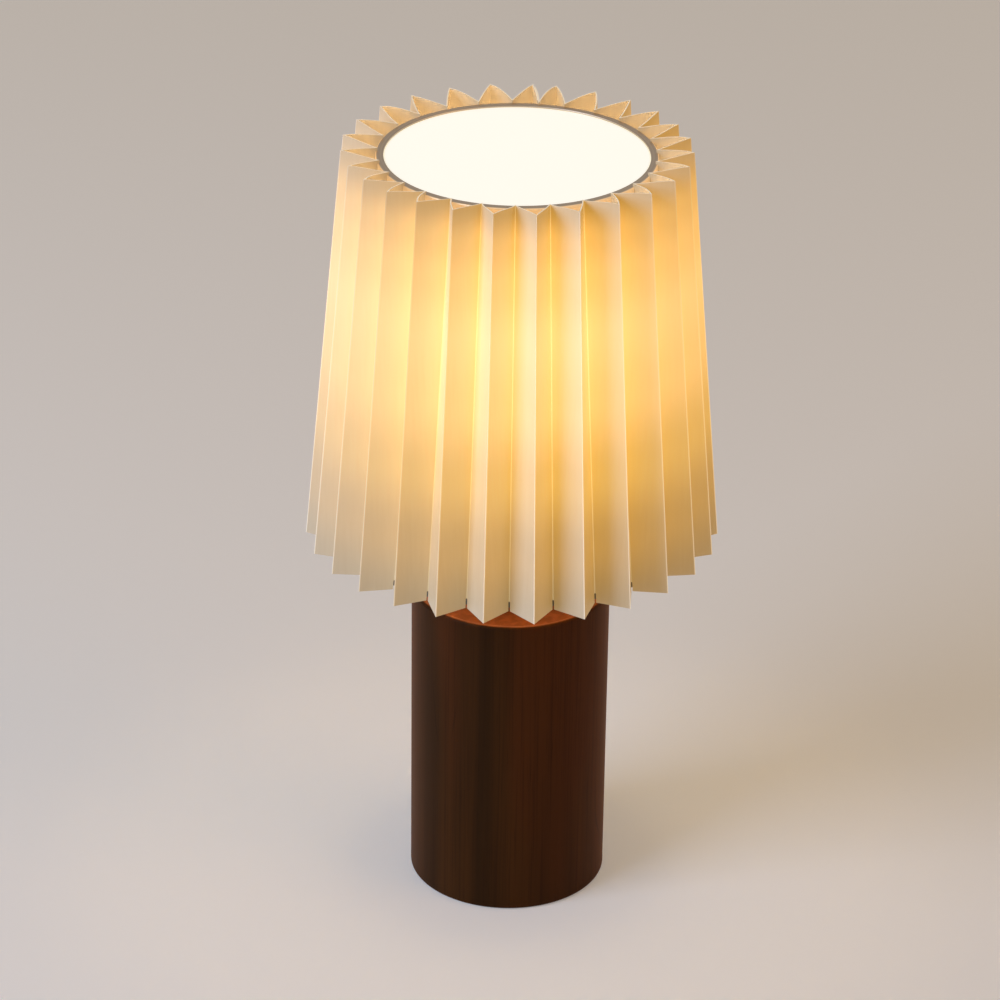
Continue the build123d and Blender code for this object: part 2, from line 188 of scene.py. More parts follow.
def turnedPiece(name, profile, values, material):
    # a closed profile of (radius, height) points, clockwise seen from the front, turned round Z
    count, turns = len(profile), values["turns"]
    points = [
        (radius * math.cos(angle), radius * math.sin(angle), height)
        for angle in (math.tau * turn / turns for turn in range(turns))
        for radius, height in profile
    ]
    faces = []
    for turn in range(turns):
        here, there = turn * count, (turn + 1) % turns * count
        for index in range(count):
            following = (index + 1) % count
            faces.append((here + index, here + following, there + following, there + index))
    mesh = bpy.data.meshes.new(name)
    mesh.from_pydata(points, [], faces)
    mesh.shade_smooth()
    mesh.set_sharp_from_angle(angle=math.radians(values["sharpAngle"]))
    mesh.materials.append(material)
    return addObject(name, mesh)


def arcPoints(centre, radius, start, end, steps):
    # points of an arc, from one angle in degrees to another
    angles = (math.radians(start + (end - start) * step / steps) for step in range(steps + 1))
    return [(centre[0] + radius * math.cos(a), centre[1] + radius * math.sin(a)) for a in angles]


# Camera, where the photo was taken from

photoCamera = {
    "place": (-5.4 * mm, -1593.6 * mm, 994.7 * mm),
    "downwards": 26.83,     # degrees below the horizon
    "lean": 0.775,          # degrees that the upright lamp leans to the right
    "lens": 143.06,         # mm, on a sensor 36 mm wide
    "farthest": 30,         # m
}
camera = addObject("photoCamera", bpy.data.cameras.new("photoCamera"))
camera.data.lens = photoCamera["lens"]
camera.data.clip_end = photoCamera["farthest"]
camera.matrix_world = (
    Matrix.Translation(photoCamera["place"])
    @ Matrix.Rotation(math.radians(90 - photoCamera["downwards"]), 4, "X")
    @ Matrix.Rotation(math.radians(photoCamera["lean"]), 4, "Z")
)
scene.camera = camera


# Studio: a pale floor, a soft window light from the left and a weaker one from the right

studio = {
    "floorSize": 12.0,
    "floorColour": "e2e4e8",
    "floorRoughness": 0.8,
    "floorLift": 0.24,      # the floor looks this much paler, and lights nothing by it
    "worldColour": "bfbbb6",
    "worldLightColour": "ebc684",
    "worldLight": 0.33,
    "lights": {
        # name: place, size, watts, colour
        "windowLight": ((-1.7, -1.1, 1.25), 1.3, 32.5, "cfe0ff"),
        "roomLight": ((1.9, -0.9, 1.1), 1.4, 9.0, "ffbc74"),
    },
    "aim": (0, 0, 0.2),
}


def seenDirectly(tree):
    # 1 where the camera sees a thing, by itself or in a shiny or clear surface
    rays = addNode(tree, "ShaderNodeLightPath").outputs
    seen = rays["Is Camera Ray"]
    for ray in ("Is Glossy Ray", "Is Transmission Ray"):
        seen = addNode(tree, "ShaderNodeMath", {0: seen, 1: rays[ray]}, operation="MAXIMUM")
    return seen


def makeStudio(values):
    half = values["floorSize"] / 2
    mesh = bpy.data.meshes.new("studioFloor")
    corners = [(-half, -half, 0), (half, -half, 0), (half, half, 0), (-half, half, 0)]
    mesh.from_pydata(corners, [], [(0, 1, 2, 3)])
    floor = addObject("studioFloor", mesh)
    material, tree = newMaterial("mattPaintedBoard")[:2]
    seen = seenDirectly(tree)
    lift = addNode(tree, "ShaderNodeMath", {0: seen, 1: values["floorLift"]}, operation="MULTIPLY")
    mesh.materials.append(endMaterial(material, {
        "Base Color": hexColour(values["floorColour"]),
        "Roughness": values["floorRoughness"],
        "Emission Color": hexColour(values["floorColour"]),
        "Emission Strength": lift,
    }))

    for name, (spot, size, watts, colour) in values["lights"].items():
        lamp = bpy.data.lights.new(name, "AREA")
        lamp.size = size
        lamp.energy = watts
        lamp.color = hexColour(colour)[:3]
        light = addObject(name, lamp)
        light.location = spot
        towards = Vector(values["aim"]) - Vector(spot)
        light.rotation_euler = towards.to_track_quat("-Z", "Y").to_euler()

    world = bpy.data.worlds.new("studioWorld")
    scene.world = world
    world.use_nodes = True
    tree = world.node_tree
    tree.nodes.clear()
    seen = seenDirectly(tree)
    strength = addNode(
        tree, "ShaderNodeMapRange", {"Value": seen, "To Min": values["worldLight"], "To Max": 1.0}
    )
    colour = addNode(tree, "ShaderNodeMix", {
        0: seen, 6: hexColour(values["worldLightColour"]), 7: hexColour(values["worldColour"]),
    }, data_type="RGBA")
    background = addNode(tree, "ShaderNodeBackground", {"Color": colour, "Strength": strength})
    addNode(tree, "ShaderNodeOutputWorld", {"Surface": background})


makeStudio(studio)
scene.view_settings.view_transform = "Standard"
print("studio and camera made")


# Pleated sheet: one strip of polypropylene, folded and glued to itself at the back

sheet = {
    "pleats": 27,
    "stepsPerFace": 8,
    "rows": 30,
    "crowding": 0.86,           # how much closer the columns stand towards the inner folds
    "bottomRadius": 93.0,       # mm, over the outer folds
    "topRadius": 76.5,
    "bottomDepth": 12.6,        # from the outer to the inner folds
    "topDepth": 15.3,
    "thickness": 0.5,
    "sharpAngle": 30.0,         # degrees; folds and cut edges are sharper, the crowned faces aren't
    "foldDrop": 2.1,            # the inner folds end this much lower
    "archHeight": 1.0,          # the upper edge rises by up to this much between the folds
    "bow": 0.9,                 # and swells outwards by up to this much
    "flattest": 0.15,           # share of both on the flattest face
    "seamAzimuth": 85.0,        # degrees from +X
    "seamAngle": 8.2,
    "drift": (3.5, 1.8, 0.75, 0.5, -1.0),   # degrees that the hand-set folds wander, wave by wave
    "lap": 0.55,                # the glued lap lies this much further in
    "radiusSpread": 0.5,        # outer folds stand back by up to this much
    "heightSpread": 0.35,
    "ringClearance": 0.15,
    "seed": 4,
}


def foldAzimuthTree(waves):
    # the azimuth of one outer fold, counted from the seam
    tree = bpy.data.node_groups.new("foldAzimuth", "GeometryNodeTree")
    tree.interface.new_socket("Azimuth", in_out="OUTPUT", socket_type="NodeSocketFloat")
    for label in ("Fold", "Last fold", "Seam azimuth", "Seam angle"):
        tree.interface.new_socket(label, in_out="INPUT", socket_type="NodeSocketFloat")
    inputs = addNode(tree, "NodeGroupInput").outputs
    fold, last, seam = inputs["Fold"], inputs["Last fold"], inputs["Seam angle"]
    inside = addNode(tree, "ShaderNodeClamp", {"Value": fold, "Min": 0.0, "Max": last})
    outside = addNode(tree, "ShaderNodeMath", {0: fold, 1: inside}, operation="SUBTRACT")
    rest = addNode(tree, "ShaderNodeMath", {0: math.tau, 1: seam}, operation="SUBTRACT")
    pitch = addNode(tree, "ShaderNodeMath", {0: rest, 1: last}, operation="DIVIDE")
    share = addNode(tree, "ShaderNodeMath", {0: inside, 1: last}, operation="DIVIDE")
    terms = [(inside, pitch), (outside, seam)]
    for wave, size in enumerate(waves, start=1):
        phase = addNode(tree, "ShaderNodeMath", {0: share, 1: math.pi * wave}, operation="MULTIPLY")
        swing = addNode(tree, "ShaderNodeMath", {0: phase}, operation="SINE")
        terms.append((swing, math.radians(size)))
    total = inputs["Seam azimuth"]
    for term, factor in terms:
        total = addNode(tree, "ShaderNodeMath", {0: term, 1: factor, 2: total}, operation="MULTIPLY_ADD")
    addNode(tree, "NodeGroupOutput", {0: total})
    return tree


def pleatTree(azimuths, sizes):
    # a flat grid, one column per step across the folds and one row per height, bent into pleats
    tree, size = newGeometryTree("pleatedSheet", sizes)
    columns = size["Pleats"]
    for operation, other in (("MULTIPLY", 2.0), ("ADD", 1.0), ("MULTIPLY", size["Steps"])):
        columns = addNode(tree, "ShaderNodeMath", {0: columns, 1: other}, operation=operation)
    grid, column, row, lastRow = numberedGrid(tree, columns, size["Rows"])

    # faces that the lower ring's notches take away: one step each side of an inner fold
    fromFold = addNode(tree, "ShaderNodeMath", {0: column, 1: size["Steps"]}, operation="PINGPONG")
    atFold = addNode(tree, "ShaderNodeMath", {0: fromFold, 1: 1.0}, operation="LESS_THAN")
    inNotch = addNode(tree, "ShaderNodeMath", {0: row, 1: 1.0}, operation="LESS_THAN")
    cut = addNode(tree, "ShaderNodeMath", {0: atFold, 1: inNotch}, operation="MULTIPLY")

    # where a vertex lies between its outer fold (0) and its inner fold (1); the first pleat
    # begins half a pleat along the strip
    wholeColumn = addNode(tree, "ShaderNodeMath", {0: column}, operation="ROUND")
    wholeRow = addNode(tree, "ShaderNodeMath", {0: row}, operation="ROUND")
    perPleat = addNode(tree, "ShaderNodeMath", {0: size["Steps"], 1: 2.0}, operation="MULTIPLY")
    strip = addNode(tree, "ShaderNodeMath", {0: wholeColumn, 1: perPleat}, operation="DIVIDE")
    strip = addNode(tree, "ShaderNodeMath", {0: strip, 1: 0.5}, operation="SUBTRACT")
    pleat = addNode(tree, "ShaderNodeMath", {0: strip}, operation="FLOOR")
    within = addNode(tree, "ShaderNodeMath", {0: strip, 1: pleat}, operation="SUBTRACT")
    even = addNode(tree, "ShaderNodeMath", {0: strip, 1: 0.5}, operation="PINGPONG")
    even = addNode(tree, "ShaderNodeMath", {0: even, 1: 2.0}, operation="MULTIPLY")
    across = addNode(tree, "ShaderNodeMath", {0: 1.0, 1: even}, operation="SUBTRACT")
    for operation, other in (("MULTIPLY", size["Crowding"]), ("ADD", 1.0), ("MULTIPLY", even)):
        across = addNode(tree, "ShaderNodeMath", {0: across, 1: other}, operation=operation)

    # the angles of the nearer outer fold and of the inner one between this pleat and the next
    after = addNode(tree, "ShaderNodeMath", {0: within, 1: 0.5}, operation="GREATER_THAN")
    outerFold = addNode(tree, "ShaderNodeMath", {0: pleat, 1: after}, operation="ADD")
    nextPleat = addNode(tree, "ShaderNodeMath", {0: pleat, 1: 1.0}, operation="ADD")
    lastFold = addNode(tree, "ShaderNodeMath", {0: size["Pleats"], 1: 1.0}, operation="SUBTRACT")
    outer, here, following = (
        addNode(tree, "GeometryNodeGroup", {
            "Fold": fold,
            "Last fold": lastFold,
            "Seam azimuth": size["Seam azimuth"],
            "Seam angle": size["Seam angle"],
        }, node_tree=azimuths)
        for fold in (outerFold, pleat, nextPleat)
    )
    inner = addNode(tree, "ShaderNodeMath", {0: here, 1: following}, operation="ADD")
    inner = addNode(tree, "ShaderNodeMath", {0: inner, 1: 0.5}, operation="MULTIPLY")

    # how high the row is, as a share of the sheet's height; the second row tops the notches
    up = addNode(tree, "ShaderNodeMapRange", {
        "Value": wholeRow, "From Min": 1.0, "From Max": lastRow, "To Min": size["Notch top"],
    })
    aboveFoot = addNode(tree, "ShaderNodeMath", {0: wholeRow, 1: 0.5}, operation="GREATER_THAN")
    up = addNode(tree, "ShaderNodeMath", {0: up, 1: aboveFoot}, operation="MULTIPLY")

    # hand-made unevenness, the same for a fold wherever the strip passes it
    fold = addNode(tree, "ShaderNodeMath", {0: outerFold, 1: size["Pleats"]}, operation="FLOORED_MODULO")
    spread = {}
    for offset, label in enumerate(("Radius spread", "Height spread")):
        seed = addNode(tree, "ShaderNodeMath", {0: size["Seed"], 1: offset}, operation="ADD")
        spread[label] = addNode(
            tree, "FunctionNodeRandomValue", {3: size[label], "ID": fold, "Seed": seed}, data_type="FLOAT"
        )

    # the two folds beside the vertex, at its height
    ends = []
    for angle, low, high, back in (
        (outer, "Bottom radius", "Top radius", spread["Radius spread"]),
        (inner, "Bottom inner radius", "Top inner radius", 0.0),
    ):
        radius = addNode(tree, "ShaderNodeMix", {0: up, 2: size[low], 3: size[high]}, data_type="FLOAT")
        radius = addNode(tree, "ShaderNodeMath", {0: radius, 1: back}, operation="SUBTRACT")
        ends.append(outwards(tree, angle, radius))
    flat = addNode(tree, "ShaderNodeMix", {0: across, 4: ends[0], 5: ends[1]}, data_type="VECTOR")

    # the crown of the face: a hump over the chord from fold to fold, fuller on some faces. The
    # strip's two ends lie on each other, so their faces swell alike.
    faceCount = addNode(tree, "ShaderNodeMath", {0: size["Pleats"], 1: 2.0}, operation="MULTIPLY")
    face = addNode(tree, "ShaderNodeMath", {0: wholeColumn, 1: size["Steps"]}, operation="DIVIDE")
    face = addNode(tree, "ShaderNodeMath", {0: face}, operation="FLOOR")
    face = addNode(tree, "ShaderNodeMath", {0: face, 1: faceCount}, operation="FLOORED_MODULO")
    fullness = addNode(tree, "FunctionNodeRandomValue", {
        2: size["Flattest"], "ID": face, "Seed": size["Seed"],
    }, data_type="FLOAT")
    hump = addNode(tree, "ShaderNodeMath", {0: 1.0, 1: across}, operation="SUBTRACT")
    for factor in (across, 4.0, fullness):
        hump = addNode(tree, "ShaderNodeMath", {0: hump, 1: factor}, operation="MULTIPLY")
    chord = addNode(tree, "ShaderNodeVectorMath", {0: ends[1], 1: ends[0]}, operation="SUBTRACT")
    side = addNode(tree, "ShaderNodeVectorMath", {0: chord, 1: (0, 0, 1)}, operation="CROSS_PRODUCT")
    side = addNode(tree, "ShaderNodeVectorMath", {0: side}, operation="NORMALIZE")
    facing = addNode(tree, "ShaderNodeVectorMath", {0: side, 1: flat}, operation="DOT_PRODUCT")
    sign = addNode(tree, "ShaderNodeMath", {0: facing.outputs["Value"]}, operation="SIGN")

    # the strip's first half pleat, up to and with its first outer fold, lies glued behind its
    # last one
    justPastFold = 0.05
    lap = addNode(tree, "ShaderNodeMath", {0: strip, 1: justPastFold}, operation="LESS_THAN")
    lap = addNode(tree, "ShaderNodeMath", {0: lap, 1: size["Lap"]}, operation="MULTIPLY")
    swell = hump
    for operation, other in (
        ("MULTIPLY", size["Bow"]), ("MULTIPLY", up), ("SUBTRACT", lap), ("MULTIPLY", sign),
    ):
        swell = addNode(tree, "ShaderNodeMath", {0: swell, 1: other}, operation=operation)
    bent = addNode(tree, "ShaderNodeVectorMath", {0: side, "Scale": swell}, operation="SCALE")
    bent = addNode(tree, "ShaderNodeVectorMath", {0: bent, 1: flat}, operation="ADD")

    # height: the whole strip, less the dip at the inner folds, plus the arch between them
    lower = spread["Height spread"]
    top = addNode(tree, "ShaderNodeMath", {0: size["Height"], 1: lower}, operation="SUBTRACT")
    top = addNode(tree, "ShaderNodeMath", {0: hump, 1: size["Arch"], 2: top}, operation="MULTIPLY_ADD")
    top = addNode(tree, "ShaderNodeMix", {0: across, 2: top, 3: size["Inner height"]}, data_type="FLOAT")
    height = addNode(tree, "ShaderNodeMath", {0: up, 1: top, 2: size["Foot"]}, operation="MULTIPLY_ADD")
    lift = addNode(tree, "ShaderNodeCombineXYZ", {2: height})
    bent = addNode(tree, "ShaderNodeVectorMath", {0: bent, 1: lift}, operation="ADD")

    # what the material reads: across and up as a UV map, and a tone of its own for each face
    uv = addNode(tree, "ShaderNodeCombineXYZ", {0: across, 1: up})
    face = addNode(tree, "ShaderNodeMath", {0: column, 1: size["Steps"]}, operation="DIVIDE")
    face = addNode(tree, "ShaderNodeMath", {0: face}, operation="FLOOR")
    tone = addNode(tree, "FunctionNodeRandomValue", {"ID": face, "Seed": size["Seed"]}, data_type="FLOAT")
    made = grid
    for name, value, kind, domain in (
        ("UVMap", uv, "FLOAT2", "CORNER"), ("faceTone", tone, "FLOAT", "FACE"),
    ):
        made = addNode(tree, "GeometryNodeStoreNamedAttribute", {
            "Geometry": made, "Name": name, "Value": value,
        }, data_type=kind, domain=domain)
    made = addNode(tree, "GeometryNodeDeleteGeometry", {"Geometry": made, "Selection": cut}, domain="FACE")
    made = addNode(tree, "GeometryNodeSetShadeSmooth", {"Geometry": made})
    made = addNode(tree, "GeometryNodeSetPosition", {"Geometry": made, "Position": bent})
    endTree(tree, made, size["Material"])
    return tree


def sheetSurface(tree, place, values, pale, dark, bumpy=True):
    # What the sheet's materials share. Its extrusion streaks run round the lamp; real ones are
    # finer, these are drawn wide enough to show.
    stretched = addNode(tree, "ShaderNodeMapping", {0: place, "Scale": (1, 1, values["streakLength"])})
    streaks = addNode(tree, "ShaderNodeTexNoise", {
        "Vector": stretched, "Scale": 1 / (values["streakWidth"] * mm), "Detail": 3.0,
    })
    skin = addNode(tree, "ShaderNodeMix", {
        0: streaks, 6: hexColour(values[dark]), 7: hexColour(values[pale]),
    }, data_type="RGBA")
    surface = {"Base Color": skin, "Roughness": values["roughness"]}
    if bumpy:
        surface["Normal"] = addNode(tree, "ShaderNodeBump", {
            "Height": streaks, "Strength": values["streakBump"], "Distance": values["streakHeight"] * mm,
        })
    return surface


def sheetOutsideMaterial(values):
    # Polypropylene sheet, extruded and creased: a cream satin skin that lets the bulb's light through,
    # painted on as its glow, whitened at the creases and paler there as a painted highlight, and
    # brightest along the inner folds.
    material, tree, place = newMaterial("creasedPolypropyleneSheet")
    uv = addNode(tree, "ShaderNodeSeparateXYZ", {0: addNode(tree, "ShaderNodeUVMap", uv_map="UVMap")})
    across, up = uv.outputs[0], uv.outputs[1]
    tone = addNode(tree, "ShaderNodeAttribute", attribute_name="faceTone").outputs["Fac"]
    surface = sheetSurface(tree, place, values, "skinPale", "skinDark")
    clouds = addNode(tree, "ShaderNodeTexNoise", {
        "Vector": place, "Scale": 1 / (values["cloudSize"] * mm), "Detail": 2.0,
    })

    # light from the bulb by height, a little uneven from face to face and within each
    light = addNode(tree, "ShaderNodeValToRGB", {0: up})
    light.color_ramp.interpolation = "EASE"
    setRamp(light, values["glow"])
    for unevenness, spread in ((tone, values["toneSpread"]), (clouds, values["cloudSpread"])):
        share = addNode(
            tree, "ShaderNodeMapRange", {"Value": unevenness, "To Min": 1 - spread, "To Max": 1 + spread}
        )
        light = addNode(tree, "ShaderNodeVectorMath", {0: light, "Scale": share}, operation="SCALE")

    # the creases: outer folds whitened and paler as a painted highlight, and inner folds that
    # let a thin bright line through
    outer = addNode(tree, "ShaderNodeMapRange", {
        "Value": across, "From Min": values["creaseShare"], "From Max": 0.0,
    })
    surface["Base Color"] = addNode(tree, "ShaderNodeMix", {
        0: outer, 6: surface["Base Color"], 7: hexColour(values["creaseWhiteAndHighlight"]),
    }, data_type="RGBA")
    inner = addNode(tree, "ShaderNodeMapRange", {
        "Value": across, "From Min": 1 - values["creaseShare"], "From Max": 1.0,
    }, interpolation_type="SMOOTHSTEP")
    brighter = addNode(tree, "ShaderNodeVectorMath", {
        0: light, 1: values["creaseLight"], 2: values["creasePaler"],
    }, operation="MULTIPLY_ADD")
    light = addNode(tree, "ShaderNodeMix", {0: inner, 4: light, 5: brighter}, data_type="VECTOR")
    # a painted highlight along the outer folds, lost towards the top
    lower = addNode(tree, "ShaderNodeMapRange", {
        "Value": up, "From Min": values["outerCreaseTop"], "From Max": 0.0,
    })
    lower = addNode(tree, "ShaderNodeMath", {0: lower, 1: outer}, operation="MULTIPLY")
    light = addNode(tree, "ShaderNodeVectorMath", {
        0: lower, 1: hexColour(values["outerCreaseLight"])[:3], 2: light,
    }, operation="MULTIPLY_ADD")
    return endMaterial(material, {
        **surface,
        "Emission Color": light,
        "Emission Strength": values["glowStrength"],
    })


def sheetInsideMaterial(values):
    # The same sheet from inside, where the bulb lights it itself. Much of that light goes
    # through, so it throws back less than the outside does.
    material, tree, place = newMaterial("polypropyleneSheetInside")
    return endMaterial(material, {
        **sheetSurface(tree, place, values, "insidePale", "insideDark"),
        "Emission Color": hexColour(values["insideGlow"]),
        "Emission Strength": values["insideStrength"],
    })


def sheetEdgeMaterial(values):
    # The sheet's cut edge: light runs along inside the plastic and leaves here, so it is pale.
    material, tree, place = newMaterial("cutPolypropyleneEdge")
    return endMaterial(material, {
        **sheetSurface(tree, place, values, "skinPale", "skinDark", bumpy=False),
        "Emission Color": hexColour(values["edgeGlow"]),
        "Emission Strength": values["edgeStrength"],
    })


sheetFinish = {
    "skinPale": "d8cfbb",
    "skinDark": "d1c6b0",
    # outer folds: whitened, and paler still as a painted highlight
    "creaseWhiteAndHighlight": "eeeae0",
    "creaseShare": 0.035,       # of a face's width, at each fold
    "creaseLight": (1.15, 1.15, 1.15),      # how much brighter the inner folds are
    "creasePaler": (0.10, 0.12, 0.10),
    "outerCreaseLight": "98948c",
    "outerCreaseTop": 0.75,     # share of the height at which that light is lost in the bulb's
    "roughness": 0.42,
    "streakWidth": 1.5,         # mm
    "streakLength": 0.05,       # streaks are this much coarser along the height
    "streakHeight": 0.03,
    "streakBump": 0.35,
    "cloudSize": 35.0,          # mm
    "cloudSpread": 0.05,
    "toneSpread": 0.06,
    "glowStrength": 1.0,
    "insidePale": "bcae93",
    "insideDark": "b0a084",
    "insideGlow": "ffdda8",
    "insideStrength": 0.19,
    "edgeGlow": "fff0d8",
    "edgeStrength": 0.45,
    # light by height, from the sheet's foot to its top
    "glow": [
        (0.0, "584000"),
        (0.16, "845e06"),
        (0.34, "b0842a"),
        (0.52, "d2a052"),
        (0.68, "dba95f"),
        (0.82, "cd9a4a"),
        (0.91, "b88838"),
        (1.0, "7c5804"),
    ],
}


def makePleatedSheet(values):
    low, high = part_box("pleated_sheet")
    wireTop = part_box("bottom_ring")[1].z
    # a full arch stands this much above the outer folds
    arch, drop = values["archHeight"], values["foldDrop"]
    crest = (4 * arch - drop) ** 2 / (16 * arch)
    height = high.z - low.z - crest * mm
    innerHeight = height - drop * mm
    sizes = {
        "Pleats": values["pleats"],
        "Steps": values["stepsPerFace"],
        "Rows": values["rows"],
        "Crowding": values["crowding"],
        "Foot": low.z,
        "Height": height,
        "Inner height": innerHeight,
        "Bottom radius": values["bottomRadius"] * mm,
        "Top radius": values["topRadius"] * mm,
        "Bottom inner radius": (values["bottomRadius"] - values["bottomDepth"]) * mm,
        "Top inner radius": (values["topRadius"] - values["topDepth"]) * mm,
        "Bow": values["bow"] * mm,
        "Arch": arch * mm,
        "Flattest": values["flattest"],
        "Seam azimuth": math.radians(values["seamAzimuth"]),
        "Seam angle": math.radians(values["seamAngle"]),
        "Lap": values["lap"] * mm,
        "Radius spread": values["radiusSpread"] * mm,
        "Height spread": values["heightSpread"] * mm,
        "Notch top": (wireTop + values["ringClearance"] * mm - low.z) / innerHeight,
        "Seed": values["seed"],
    }
    tree = pleatTree(foldAzimuthTree(values["drift"]), sizes)
    mesh = meshFromTree("pleatedSheet", tree, sizes, sheetOutsideMaterial(sheetFinish))
    mesh.materials.append(sheetInsideMaterial(sheetFinish))
    mesh.materials.append(sheetEdgeMaterial(sheetFinish))
    piece = addObject("pleatedSheet", mesh)
    thicken(
        piece, values["thickness"], values["sharpAngle"],
        use_even_offset=True, material_offset=1, material_offset_rim=2,
    )
    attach(piece, "shade")
    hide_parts("pleated_sheet")
    return piece


pleatedSheet = makePleatedSheet(sheet)
print("pleated sheet made,", len(pleatedSheet.data.polygons), "faces")


# Walnut block

walnut = {
    "patterns": {
        # mm across, mm along the grain, degrees that it leans, detail
        "broad": (10.0, 130.0, -4.0, 1.0),
        "fine": (2.6, 130.0, 1.0, 2.0),
        "red": (17.0, 102.0, 0.0, 1.0),
        "figure": (15.0, 120.0, 9.0, 2.0),
        "fibre": (0.5, 40.0, 2.0, 2.0),     # real fibres are finer, drawn wider to show
        "pore": (0.3, 12.0, 2.0, 2.0),
    },
    "fineShare": 0.3,               # of the fine streaks in the wood's tone
    "veinContour": 0.56,            # the veins follow this level of the figure
    "veinPatch": 50.0,              # mm over which veins come and go
    "levels": {
        # where in its pattern each begins to show, where it shows in full, and its share then
        "tone": (0.3, 0.7, 1.0),
        "endTone": (0.35, 0.65, 1.0),
        "red": (0.48, 0.66, 0.7),
        "fibre": (0.45, 0.75, 0.4),
        "pore": (0.6, 0.8, 0.4),
        "poreDepth": (0.6, 0.8, 1.0),
        "vein": (0.010, 0.0, 0.6),          # away from the contour
        "veinPatch": (0.5, 0.66, 1.0),
        # end: the top's end grain, painted lit by the bulb, by depth below the top
        "end": (0.6 * mm, 0.2 * mm, 1.0),   # below the top
    },
    "pale": "472a10",
    "dark": "2e1c0a",
    "red": "48260f",
    "fibre": "241207",
    "vein": "160a04",
    # the top's end grain, painted a light orange brown as the bulb's light on it
    "endGrainPaintedLit": "96512a",
    "endGrainPaintedLitDark": "804622",
    # a painted highlight: the pale line round the top's rounded edge
    "rimPaintedHighlight": "ac7250",
    "rimBelow": 0.12,               # mm from the top to the middle of the pale line at its edge
    "rimReach": 0.1,
    "rimShare": 0.4,
    "poreHeight": 0.05,
    "poreBump": 0.25,
    "roughness": 0.5,
    "gloss": 0.06,                  # specular level: dark open pores under thin satin lacquer
    "sheen": 0.16,                  # raised fibre ends, which catch warm light on the turned sides
    "sheenRoughness": 0.4,
    "sheenTint": "ff9c60",
}


def alongGrain(tree, place, width, length, lean, detail):
    # noise drawn out along the grain: width and length in mm, lean in degrees
    drawn = addNode(tree, "ShaderNodeMapping", {
        0: place, "Rotation": (0, math.radians(lean), 0), "Scale": (1, 1, width / length),
    })
    scale = 1 / (2 * width * mm)
    return addNode(tree, "ShaderNodeTexNoise", {
        "Vector": drawn, "Scale": scale, "Detail": detail, "Roughness": 0.5, "Distortion": 0.3,
    })


def lacqueredWalnutMaterial(values):
    # Walnut, turned, sanded and lacquered satin: dark brown, with soft upright streaks, a few
    # dark leaning veins and fine pores, and hardly any shine. Its top, where the grain ends, is
    # painted a deep orange brown, as painted light of the bulb shining on it.
    material, tree, place = newMaterial("lacqueredWalnut")
    source = {name: alongGrain(tree, place, *shape) for name, shape in values["patterns"].items()}
    source["endTone"], source["poreDepth"] = source["fine"], source["pore"]
    fineShare = values["fineShare"]
    fine = addNode(tree, "ShaderNodeMath", {0: source["fine"], 1: fineShare}, operation="MULTIPLY")
    source["tone"] = addNode(tree, "ShaderNodeMath", {
        0: source["broad"], 1: 1 - fineShare, 2: fine,
    }, operation="MULTIPLY_ADD")
    offContour = addNode(
        tree, "ShaderNodeMath", {0: source["figure"], 1: values["veinContour"]}, operation="SUBTRACT"
    )
    source["vein"] = addNode(tree, "ShaderNodeMath", {0: offContour}, operation="ABSOLUTE")
    source["veinPatch"] = addNode(tree, "ShaderNodeTexNoise", {
        "Vector": place, "Scale": 1 / (values["veinPatch"] * mm), "Detail": 1.0,
    })
    height = addNode(tree, "ShaderNodeSeparateXYZ", {0: place}).outputs[2]
    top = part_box("wood_base")[1].z
    source["end"] = addNode(tree, "ShaderNodeMath", {0: top, 1: height}, operation="SUBTRACT")
    share = {}
    for name, (first, full, most) in values["levels"].items():
        share[name] = addNode(tree, "ShaderNodeMapRange", {
            "Value": source[name], "From Min": first, "From Max": full, "To Max": most,
        }, interpolation_type="SMOOTHSTEP")
    veins = addNode(
        tree, "ShaderNodeMath", {0: share["vein"], 1: share["veinPatch"]}, operation="MULTIPLY"
    )
    # the painted highlight along the top's rounded edge
    onRim = addNode(tree, "ShaderNodeMath", {
        0: source["end"], 1: values["rimBelow"] * mm, 2: values["rimReach"] * mm,
    }, operation="COMPARE")
    onRim = addNode(tree, "ShaderNodeMath", {0: onRim, 1: values["rimShare"]}, operation="MULTIPLY")

    # the sides, then the end grain of the top with its painted bulb light, and the painted
    # highlight round its rounded edge
    endTone = addNode(tree, "ShaderNodeMix", {
        0: share["endTone"], 6: hexColour(values["endGrainPaintedLitDark"]), 7: hexColour(values["endGrainPaintedLit"]),
    }, data_type="RGBA")
    wood = hexColour(values["dark"])
    for amount, colour in (
        (share["tone"], hexColour(values["pale"])),
        (share["red"], hexColour(values["red"])),
        (share["fibre"], hexColour(values["fibre"])),
        (share["pore"], hexColour(values["vein"])),
        (veins, hexColour(values["vein"])),
        (share["end"], endTone),
        (onRim, hexColour(values["rimPaintedHighlight"])),
    ):
        wood = addNode(tree, "ShaderNodeMix", {0: amount, 6: wood, 7: colour}, data_type="RGBA")
    bump = addNode(tree, "ShaderNodeBump", {
        "Height": share["poreDepth"],
        "Strength": values["poreBump"],
        "Distance": values["poreHeight"] * mm,
    }, invert=True)
    return endMaterial(material, {
        "Base Color": wood,
        "Roughness": values["roughness"],
        "Specular IOR Level": values["gloss"],
        "Sheen Weight": values["sheen"],
        "Sheen Roughness": values["sheenRoughness"],
        "Sheen Tint": hexColour(values["sheenTint"]),
        "Normal": bump,
    })


footRim = {
    "clear": 0.4,       # mm from the table
    "rounding": 1.0,
    "padGap": 0.3,
    "cover": 1.2,       # how far it reaches up over the block's own rounded foot
    "lip": 0.1,         # its thickness at the upper edge
    "proud": 0.02,
    "turns": 240,
    "sharpAngle": 35.0,
}


